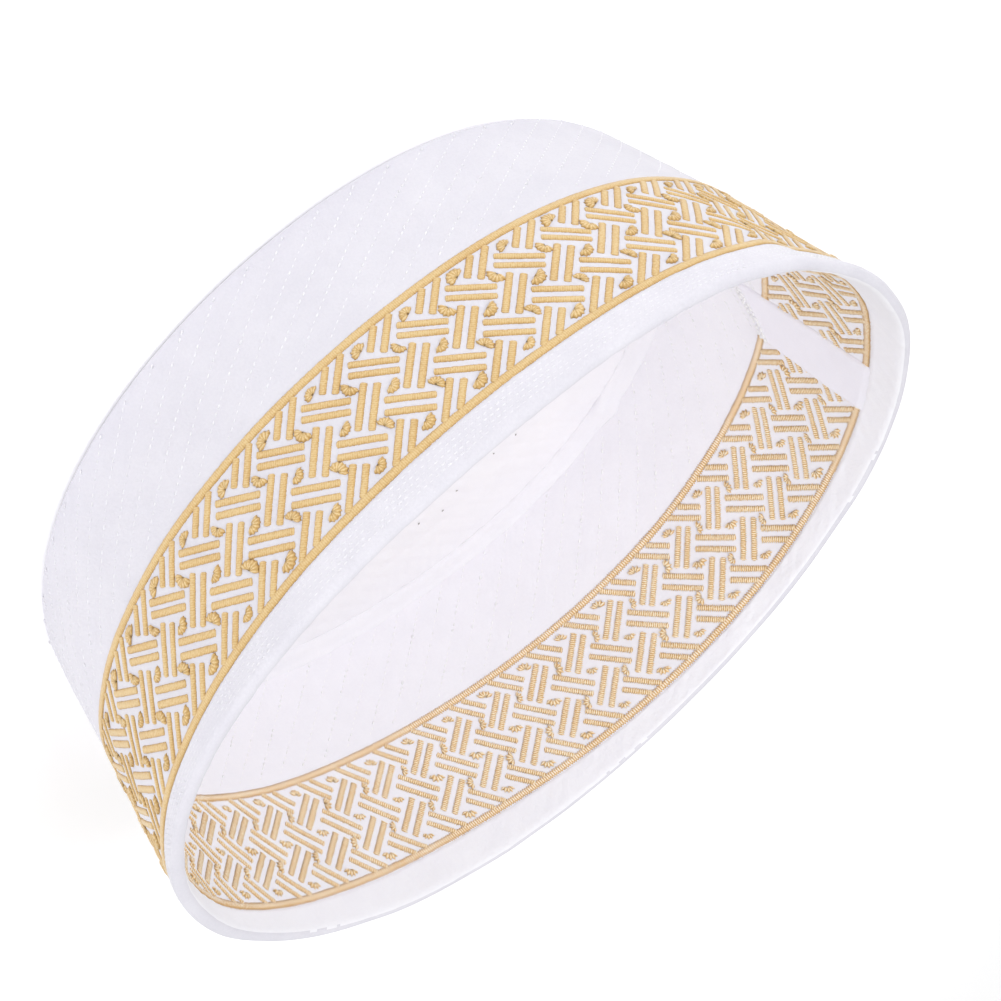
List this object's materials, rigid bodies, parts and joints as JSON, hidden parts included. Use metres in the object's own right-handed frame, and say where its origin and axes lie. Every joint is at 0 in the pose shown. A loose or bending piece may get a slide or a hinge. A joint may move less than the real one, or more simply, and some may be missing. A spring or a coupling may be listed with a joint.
{
  "type": "prayer cap",
  "caption": "Low round quilted cotton prayer cap with a flat crown, an embroidered basket-weave band and a folded hem, resting on its crown with the opening up.",
  "frame": {"origin": "middle of the cap's box, on the surface that its crown rests on", "axes": "+Z out of the opening, away from the crown; +Y to the back of the head, where the wall is joined; +X to one side"},
  "size_m": [0.1638, 0.197, 0.0674],
  "materials": {
    "quilted_cotton": "white quilted cotton, plain weave",
    "hem_cotton": "white cotton, folded and stitched in rows",
    "tape_cotton": "smooth white cotton tape",
    "gold_thread": "golden yellow embroidery thread, satin"
  },
  "bodies": {
    "root": {"crown_panel": "quilted_cotton", "side_wall": "quilted_cotton", "rim_hem": "hem_cotton", "seam_tape": "tape_cotton", "crown_seam_ridge": "tape_cotton"}
  },
  "joints": []
}
